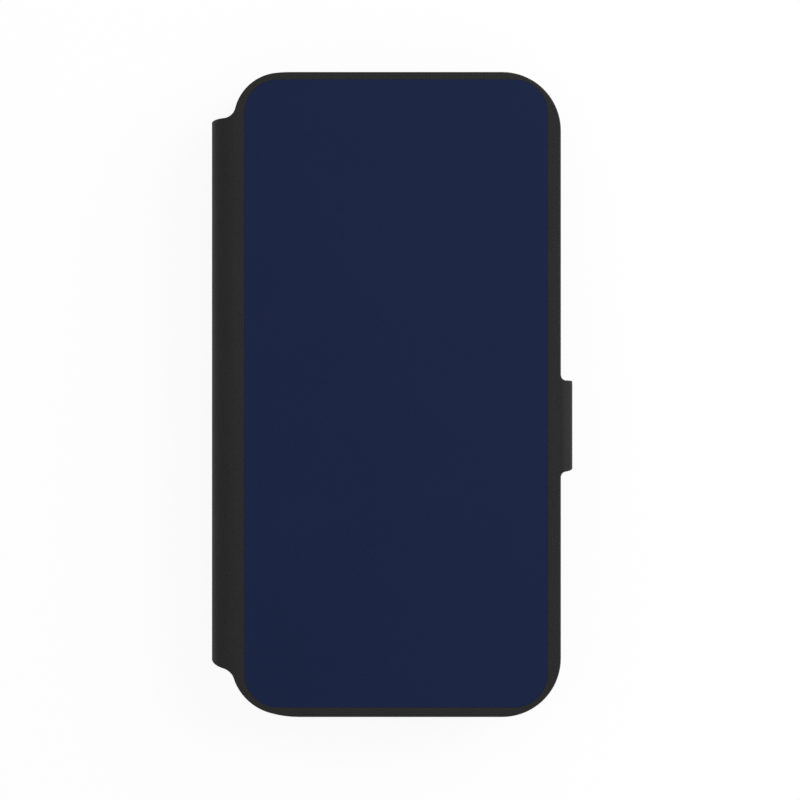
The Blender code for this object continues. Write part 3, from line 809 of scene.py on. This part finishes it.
makeLayer("frontLeather", "leather", "front", ["front_skin", "spine_skin"])
makeLayer("frontCore", "core", "front", ["front_board", "spine_board"])
makeLayer("frontLining", "lining", "front", ["front_lining", "spine_lining"])
makeLayer("backLeather", "leather", "back", ["back_skin"])
makeLayer("backCore", "core", "back", ["back_board"])
makeLayer("backLining", "lining", "back", ["back_lining"])
print("covers laminated and folded")


# Navy panel, let into the front leather
panelSheet = {"low": 17.155 * mm, "high": 17.68 * mm, "edge": 0.03 * mm, "segments": 4, "grow": 0.07 * mm}


def makePanel():
    size = panelSheet
    bm = makePlate(panelArcs(size["grow"]), size["low"], size["high"], "cover")
    softEdges(bm, size["edge"], size["segments"], lambda co: co.z > size["high"] - tiny)
    addPiece("printPanel", bm, finishes["print"], "front_cover", ["print_panel"])


makePanel()
print("panel set in")


# Pockets inside the front cover, hemmed at the mouth and closed along their other sides
pocketSizes = {
    "thick": 0.4 * mm,
    "bond": 0.2 * mm,
    "seam": 2.6 * mm,
    "hem": 3.0 * mm,
    "hemThick": 0.12 * mm,
    "round": 0.1 * mm,
    "segments": 2,
    "cashLow": 14.8 * mm,
    "cashMouth": -33.0 * mm,
    "cardLeft": -29.6 * mm,
    "cardRight": 33.0 * mm,
    "cardBottom": -71.2 * mm,
    "cardMouths": (34.2 * mm, 22.2 * mm, 10.2 * mm),
    "cardFoot": 8.25 * mm,
    "cardCorner": 2.5 * mm,
}


def makePocket(name, arcs, low, mouth, seams, replaced):
    # mouth and seams are planes (place, direction): the hem or the seam lies beyond each
    size = pocketSizes
    bm = makePlate(arcs, low, low + size["thick"], "pocket")
    for place, direction in [mouth] + seams:
        sliceAt(bm, [place], direction)

    def beyond(face, plane):
        return face.calc_center_median().dot(Vector(plane[1])) > plane[0] + tiny

    def grow(faces, step):
        edges = list({e for f in faces for e in f.edges})    # with its edges, a region leaves no face behind
        made = bmesh.ops.extrude_face_region(bm, geom=faces + edges)["geom"]
        verts = [item for item in made if isinstance(item, bmesh.types.BMVert)]
        bmesh.ops.translate(bm, verts=verts, vec=(0, 0, step))

    under = [f for f in bm.faces if f.normal.z < -levelFace and beyond(f, mouth)]
    grow(under, -size["hemThick"])
    over = [f for f in bm.faces if f.normal.z > levelFace and any(beyond(f, seam) for seam in seams)]
    grow(over, size["bond"])
    bmesh.ops.remove_doubles(bm, verts=bm.verts[:], dist=weld)
    bmesh.ops.recalc_face_normals(bm, faces=bm.faces[:])
    softEdges(bm, size["round"], size["segments"], lambda co: co.z < low + tiny)
    bmesh.ops.dissolve_degenerate(bm, edges=bm.edges[:], dist=weld)
    addPiece(name, bm, finishes["pocket"], "front_cover", [replaced])


def mouthArcs(end, mouth):
    # a corner beside the spine, as far as the pocket's mouth cuts it
    lead, (x, y, radius, first, last), hollow = shoulderArcs(end, 0.0)
    return [lead, (x, y, radius, first, math.degrees(math.acos((mouth - x) / radius)))]


def cardLevel(i):
    return pocketSizes["cashLow"] - (i + 1) * (pocketSizes["thick"] + pocketSizes["bond"])


def makePockets():
    size = pocketSizes
    right, top, corner = case["right"], case["top"], case["corner"]
    seam, mouth = size["seam"], size["cashMouth"]
    arcs = [(right - corner, -top + corner, corner, -90, 0), (right - corner, top - corner, corner, 0, 90)]
    arcs += mouthArcs("top", mouth) + atBottom(mouthArcs("bottom", mouth))
    seams = [(right - seam, (1, 0, 0)), (top - seam, (0, 1, 0)), (top - seam, (0, -1, 0))]
    makePocket("cashPocket", arcs, size["cashLow"], (-mouth - size["hem"], (-1, 0, 0)), seams, "cash_pocket")
    left, right, bottom = size["cardLeft"], size["cardRight"], size["cardBottom"]
    foot, bend = size["cardFoot"], size["cardCorner"]
    seams = [(right - seam, (1, 0, 0)), (-left - seam, (-1, 0, 0)), (-bottom - seam, (0, -1, 0))]
    for i, high in enumerate(size["cardMouths"]):
        arcs = boxArcs(left, right, bottom, high, (foot, bend, bend, foot))
        hem = (high - size["hem"], (0, 1, 0))
        makePocket(f"cardPocket{i + 1}", arcs, cardLevel(i), hem, seams, f"card_pocket_{i + 1}")


makePockets()
print("pockets sewn in")


# Clasp tab past the cover's edge
claspSizes = {
    "thick": 0.8 * mm,
    "round": 0.4 * mm,
    "segments": 5,
    "padFrom": 0.8 * mm,
    "padTo": 2.5 * mm,
    "padInset": 0.25 * mm,
    "padGap": 0.2 * mm,           # from the end of the bend
    "padRound": 0.5 * mm,
    "padSegments": 4,
}


def claspEdges(along):
    past = max(0.0, along - case["claspFillet"])
    low = case["claspBottom"] + past * math.tan(math.radians(case["claspSlopeBottom"]))
    high = case["claspTop"] - past * math.tan(math.radians(case["claspSlopeTop"]))
    return low, high


def claspArcs(first, inset):
    low, high = claspEdges(first)
    tipLow, tipHigh = claspEdges(claspEnd)
    corner, tip = case["claspTipCorner"], case["right"] + claspEnd
    return [
        plainCorner(case["right"] + first, high - inset),
        plainCorner(case["right"] + first, low + inset),
        (tip - corner, tipLow + corner, corner - inset, -90, 0),
        (tip - corner, tipHigh - corner, corner - inset, 0, 90),
    ]


def makeClasp():
    size = claspSizes
    bm = makePlate(claspArcs(case["claspFillet"], 0.0), -size["thick"], 0.0)
    edges = [e for e in bm.edges if all(abs(v.co.z) < tiny for v in e.verts)]
    edges = [e for e in edges if not all(abs(v.co.x - claspSeam) < tiny for v in e.verts)]
    roundEdges(bm, edges, size["round"], size["segments"])
    sliceAt(bm, bendPlaces(claspSeam, case["right"] + claspEnd))
    foldSheet(bm)
    leather = addPiece("claspLeather", bm, finishes["leather"], replaced=["clasp_skin"])
    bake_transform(leather)
    arcs = claspArcs(claspBend + size["padGap"], size["padInset"])
    bm = makePlate(arcs, -size["padTo"], -size["padFrom"])
    softEdges(bm, size["padRound"], size["padSegments"], lambda co: co.z < -size["padTo"] + tiny)
    foldSheet(bm)
    addPiece("claspPad", bm, finishes["lining"], "clasp", ["clasp_lining"])


makeClasp()
print("clasp folded")


# Phone shell, moulded in one with the collar round the camera window
shellSizes = {
    "width": 75.2 * mm,
    "length": 150.4 * mm,
    "corner": 12.85 * mm,
    "low": 2.9 * mm,
    "floor": 4.1 * mm,
    "lip": 11.9 * mm,
    "rim": 12.7 * mm,
    "bottomRound": 2.0 * mm,
    "bottomSegments": 8,
    "rimRound": 0.4 * mm,
    "rimSegments": 4,
    "innerWidth": 71.8 * mm,
    "innerLength": 147.0 * mm,
    "innerCorner": 11.15 * mm,
    "lipReach": 0.7 * mm,
    "keyZ": 7.925 * mm,
    "collarWall": 1.2 * mm,
    "collarLow": 0.2 * mm,
    "collarLap": 0.6 * mm,        # of the collar into the shell's floor
    "edge": 0.25 * mm,
    "edgeSegments": 2,
    "edgeAngle": 42,              # degrees from which a moulded edge is softened
}

cameraWindow = {"x": 16.75 * mm, "y": 53.35 * mm, "width": 31.0 * mm, "length": 33.0 * mm, "corner": 8.0 * mm}

wallSlots = {
    "port": {"x": 0.0, "length": 14.0 * mm, "height": 6.5 * mm},
    "speakerLeft": {"x": -19.0 * mm, "length": 14.0 * mm, "height": 3.0 * mm},
    "speakerRight": {"x": 19.0 * mm, "length": 14.0 * mm, "height": 3.0 * mm},
}

muteSlot = {"y": 46.0 * mm, "length": 11.0 * mm, "height": 6.4 * mm}

buttonSizes = {
    "height": 3.6 * mm,
    "fit": 0.3 * mm,
    "inner": 36.0 * mm,
    "face": 38.1 * mm,
    "edge": 0.35 * mm,
    "segments": 4,
    "sharp": 70.0,                # degrees
    "rim": 0.75 * mm,             # round the dished face
    "dish": 0.12 * mm,
    "places": {
        "volumeUpButton": {"node": "volume_up_button", "side": -1, "y": 33.0 * mm, "length": 11.0 * mm},
        "volumeDownButton": {"node": "volume_down_button", "side": -1, "y": 20.0 * mm, "length": 11.0 * mm},
        "sideButton": {"node": "side_button", "side": 1, "y": 27.0 * mm, "length": 17.0 * mm},
    },
}

magnetPocket = {
    "y": claspMiddle,
    "length": 15.4 * mm,
    "height": 5.4 * mm,
    "corner": 0.2 * mm,
    "depth": 37.1 * mm,
}


def windowPlate(grow, low, high):
    hole = cameraWindow
    width, length = hole["width"] + 2 * grow, hole["length"] + 2 * grow
    arcs = centredArcs(hole["x"], hole["y"], width, length, hole["corner"] + grow)
    return makePlate(arcs, low, high, "window")


def makeShell():
    size = shellSizes
    bm = makePlate(centredArcs(0, 0, size["width"], size["length"], size["corner"]), size["low"], size["rim"])
    softEdges(bm, size["bottomRound"], size["bottomSegments"], lambda co: co.z < size["low"] + tiny)
    softEdges(bm, size["rimRound"], size["rimSegments"], lambda co: co.z > size["rim"] - tiny)
    collarTop = size["low"] + size["collarLap"]
    cutters = [(windowPlate(size["collarWall"], size["collarLow"], collarTop), "UNION")]

    def cutAway(plate):
        cutters.append((plate, "DIFFERENCE"))

    width, length, corner = size["innerWidth"], size["innerLength"], size["innerCorner"]
    reach = size["lipReach"]
    cutAway(makePlate(centredArcs(0, 0, width, length, corner), size["floor"], size["lip"]))
    mouth = centredArcs(0, 0, width - 2 * reach, length - 2 * reach, corner - reach)
    cutAway(makePlate(mouth, size["lip"] - overcut, size["rim"] + overcut))
    cutAway(windowPlate(0.0, -overcut, size["floor"] + overcut))

    inside, outside = size["innerLength"] / 2 - overcut, size["length"] / 2 + overcut
    for slot in wallSlots.values():
        arcs = slotArcs(slot["x"], size["keyZ"], slot["length"], slot["height"])
        cutAway(turned(makePlate(arcs, inside, outside, "slot"), endTurn))

    inside, outside = size["innerWidth"] / 2 - overcut, size["width"] / 2 + overcut
    holes = [(-1, muteSlot["y"], muteSlot["length"], muteSlot["height"])]
    fit = 2 * buttonSizes["fit"]
    for key in buttonSizes["places"].values():
        holes.append((key["side"], key["y"], key["length"] + fit, buttonSizes["height"] + fit))
    for side, y, length, height in holes:
        plate = makePlate(slotArcs(y, size["keyZ"], length, height), inside, outside, "slot")
        cutAway(turned(plate, wallTurn(side)))

    bar = magnetPocket
    arcs = centredArcs(bar["y"], size["keyZ"], bar["length"], bar["height"], bar["corner"])
    cutAway(turned(makePlate(arcs, inside, bar["depth"], "bar"), wallTurn(1)))

    bm = carve(bm, cutters)
    piece = addPiece("phoneShell", bm, finishes["mould"], "back", ["phone_shell"])
    soften = piece.modifiers.new("mouldedEdges", "BEVEL")
    soften.width = size["edge"]
    soften.segments = size["edgeSegments"]
    soften.limit_method = "ANGLE"
    soften.angle_limit = math.radians(size["edgeAngle"])
    piece.modifiers.move(1, 0)       # soft edges first, then even normals


def makeButtons():
    size = buttonSizes
    dish = size["dish"]
    for name, key in size["places"].items():
        arcs = slotArcs(key["y"], shellSizes["keyZ"], key["length"], size["height"])
        plate = makePlate(arcs, size["inner"], size["face"], "slot")
        top = [f for f in plate.faces if f.normal.z > levelFace]
        bmesh.ops.inset_region(plate, faces=top, thickness=size["rim"], use_even_offset=True)
        bmesh.ops.inset_region(plate, faces=top, thickness=dish, depth=-dish, use_even_offset=True)
        softEdges(
            plate, size["edge"], size["segments"], lambda co: co.z > size["face"] - tiny, size["sharp"],
        )
        bm = turned(plate, wallTurn(key["side"]))
        addPiece(name, bm, finishes["mould"], key["node"], [key["node"]])


makeShell()
makeButtons()
print("shell and buttons moulded")


# Foam tape between the shell and the back lining
tapeSizes = {
    "side": 33.6 * mm,
    "foot": -71.2 * mm,
    "head": 31.65 * mm,
    "corner": 8.85 * mm,
    "low": 2.3 * mm,
    "high": 2.9 * mm,
}


def makeTapeSheet():
    size = tapeSizes
    arcs = boxArcs(-size["side"], size["side"], size["foot"], size["head"], [size["corner"]] * 4)
    bm = makePlate(arcs, size["low"], size["high"])
    addPiece("shellTape", bm, finishes["tape"], "back", ["shell_tape"])


makeTapeSheet()
for name in ("shell_magnet", "clasp_keeper"):
    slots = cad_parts[name].data.materials
    slots.clear()
    slots.append(finishes["nickel"])
print("tape and magnets in place")


# Stitching on the pockets
stitchSizes = {
    "pitch": 3.1 * mm,
    "length": 2.3 * mm,
    "radius": 0.2 * mm,
    "flat": 0.8,                  # a stitch's height to its width
    "slant": 0.06,                # radians across its line
    "segments": (8, 5),
    "curveStep": 6,               # degrees
    "inset": 1.4 * mm,
    "mouthInset": 1.5 * mm,
    "mouthGap": 4.0 * mm,         # from the mouth to a side's last stitch
    "hemGap": 5.0 * mm,           # from the cover's edge to the cash pocket's hem stitches
    "stepGap": 0.6 * mm,          # above the next card pocket's mouth
}


def arcPoints(arcs):
    points = []
    for x, y, radius, start, end in arcs:
        count = max(1, round(abs(end - start) / stitchSizes["curveStep"])) if radius else 0
        for i in range(count + 1):
            angle = math.radians(start + (end - start) * (i / count if count else 0))
            points.append(Vector((x + radius * math.cos(angle), y + radius * math.sin(angle), 0)))
    return points


def sewAlong(bm, arcs, level):
    size = stitchSizes
    points = arcPoints(arcs)
    spans = [(b - a).length for a, b in zip(points, points[1:])]
    count = max(1, int(sum(spans) / size["pitch"]))
    shape = Matrix.Diagonal((size["length"] / 2, size["radius"], size["radius"] * size["flat"], 1))
    around, down = size["segments"]
    for i in range(count):
        along = (i + 0.5) * sum(spans) / count
        for a, b, span in zip(points, points[1:], spans):
            if along <= span:
                break
            along -= span
        heading = (b - a).normalized()
        here = a + heading * along
        turn = Matrix.Rotation(math.atan2(heading.y, heading.x) + size["slant"], 4, "Z")
        place = Matrix.Translation((here.x, here.y, level)) @ turn @ shape
        bmesh.ops.create_uvsphere(bm, u_segments=around, v_segments=down, radius=1.0, matrix=place)


def addStitching(name, bm):
    addPiece(name, bm, finishes["thread"], "front_cover", sharp=180.0)


def makeStitching():
    size, pocket = stitchSizes, pocketSizes
    right, top, corner = case["right"], case["top"], case["corner"]
    inset, gap = size["inset"], size["mouthGap"]
    mouth, level = pocket["cashMouth"], pocket["cashLow"]
    bm = bmesh.new()
    edge = [
        plainCorner(mouth + gap, -top + inset),
        (right - corner, -top + corner, corner - inset, -90, 0),
        (right - corner, top - corner, corner - inset, 0, 90),
        plainCorner(mouth + gap, top - inset),
    ]
    sewAlong(bm, edge, level)
    hem, reach = mouth + size["mouthInset"], top - size["hemGap"]
    sewAlong(bm, [plainCorner(hem, -reach), plainCorner(hem, reach)], level - pocket["hemThick"])
    addStitching("cashStitching", bm)

    left, right, low = pocket["cardLeft"] + inset, pocket["cardRight"] - inset, pocket["cardBottom"] + inset
    foot, mouths = pocket["cardFoot"] - inset, pocket["cardMouths"]
    for i, high in enumerate(mouths):
        bm = bmesh.new()
        level = cardLevel(i)
        if i + 1 < len(mouths):      # the next pocket covers the rest
            for x in (left, right):
                side = [plainCorner(x, mouths[i + 1] + size["stepGap"]), plainCorner(x, high - gap)]
                sewAlong(bm, side, level)
        else:
            edge = [
                plainCorner(left, high - gap),
                (left + foot, low + foot, foot, 180, 270),
                (right - foot, low + foot, foot, -90, 0),
                plainCorner(right, high - gap),
            ]
            sewAlong(bm, edge, level)
        hem = high - size["mouthInset"]
        sewAlong(bm, [plainCorner(left, hem), plainCorner(right, hem)], level - pocket["hemThick"])
        addStitching(f"cardStitching{i + 1}", bm)


makeStitching()
print("stitching done")


# Studio: pale floor, white surround and one large soft lamp from the upper right
studio = {
    "floorSize": 12.0,
    "floorTone": (0.97, 0.97, 0.97, 1.0),
    "floorGlow": 0.91,            # share of plain white that the camera sees on the floor near the case
    "glowReach": (0.12, 0.5),     # where that share starts to rise and where it is whole
    "windowShade": (1.0, 1.05),   # where the shade under the window ends, in half window sizes
    "white": (1.0, 1.0, 1.0, 1.0),
    "ambient": 0.66,
    "lampAt": (0.60, 0.30, 0.44),
    "lampSize": 0.7,
    "lampPower": 4.6,
    "lens": 100.0,
    "sensor": 36.0,
    "clipStart": 0.01,
    "cameraAt": (0.59 * mm, -1.30 * mm, 542.35 * mm),
}


def seenDirectly(tree):
    path = addNode(tree, "ShaderNodeLightPath").outputs
    seen = doMath(tree, "MAXIMUM", path["Is Camera Ray"], path["Is Glossy Ray"])
    return doMath(tree, "MAXIMUM", seen, path["Is Transmission Ray"])


def besideWindow(tree):
    # nothing under the camera window, where the floor lies in the case's own shade
    hole = collarHole
    fromHole = doVector(tree, "SUBTRACT", {0: objectPlace(tree), 1: (hole["x"], hole["y"], 0.0)})[0]
    apart = addNode(tree, "ShaderNodeSeparateXYZ", {0: fromHole}).outputs
    across = doMath(tree, "DIVIDE", doMath(tree, "ABSOLUTE", apart["X"]), hole["width"] / 2)
    along = doMath(tree, "DIVIDE", doMath(tree, "ABSOLUTE", apart["Y"]), hole["length"] / 2)
    return doRange(tree, doMath(tree, "MAXIMUM", across, along), *studio["windowShade"])


def makeFloor():
    bm = bmesh.new()
    bmesh.ops.create_grid(bm, x_segments=1, y_segments=1, size=studio["floorSize"])
    mesh = bpy.data.meshes.new("floor")
    bm.to_mesh(mesh)
    bm.free()
    floor = bpy.data.objects.new("floor", mesh)
    scene.collection.objects.link(floor)
    material = bpy.data.materials.new("paleFloor")
    material.use_nodes = True
    tree = material.node_tree
    tree.nodes.clear()
    matt = addNode(tree, "ShaderNodeBsdfDiffuse", {"Color": studio["floorTone"]})
    glow = addNode(tree, "ShaderNodeEmission", {"Color": studio["white"], "Strength": 1.0})
    away = doVector(tree, "LENGTH", {0: objectPlace(tree)})["Value"]
    glowShare = doRange(tree, away, *studio["glowReach"], studio["floorGlow"], 1.0, smooth=True)
    glowShare = doMath(tree, "MULTIPLY", glowShare, besideWindow(tree))
    share = doMath(tree, "MULTIPLY", seenDirectly(tree), glowShare)
    mixed = addNode(tree, "ShaderNodeMixShader", {0: share, 1: matt.outputs[0], 2: glow.outputs[0]})
    addNode(tree, "ShaderNodeOutputMaterial", {"Surface": mixed.outputs[0]})
    mesh.materials.append(material)


def makeLight():
    world = bpy.data.worlds.new("studioWorld")
    scene.world = world
    world.use_nodes = True
    tree = world.node_tree
    background = tree.nodes["Background"].inputs
    background["Color"].default_value = studio["white"]
    strength = doRange(tree, seenDirectly(tree), 0.0, 1.0, studio["ambient"], 1.0)
    tree.links.new(strength, background["Strength"])

    data = bpy.data.lights.new("keyLamp", "AREA")
    data.shape = "DISK"
    data.size = studio["lampSize"]
    data.energy = studio["lampPower"]
    lamp = bpy.data.objects.new("keyLamp", data)
    lamp.location = studio["lampAt"]
    lamp.rotation_euler = Vector(studio["lampAt"]).to_track_quat("Z", "Y").to_euler()
    scene.collection.objects.link(lamp)


def makeCamera():
    data = bpy.data.cameras.new("photoCamera")
    data.lens = studio["lens"]
    data.sensor_width = studio["sensor"]
    data.clip_start = studio["clipStart"]
    camera = bpy.data.objects.new("photoCamera", data)
    camera.location = studio["cameraAt"]
    scene.collection.objects.link(camera)
    scene.camera = camera


makeFloor()
makeLight()
makeCamera()
print("studio lit")

bpy.context.view_layer.update()
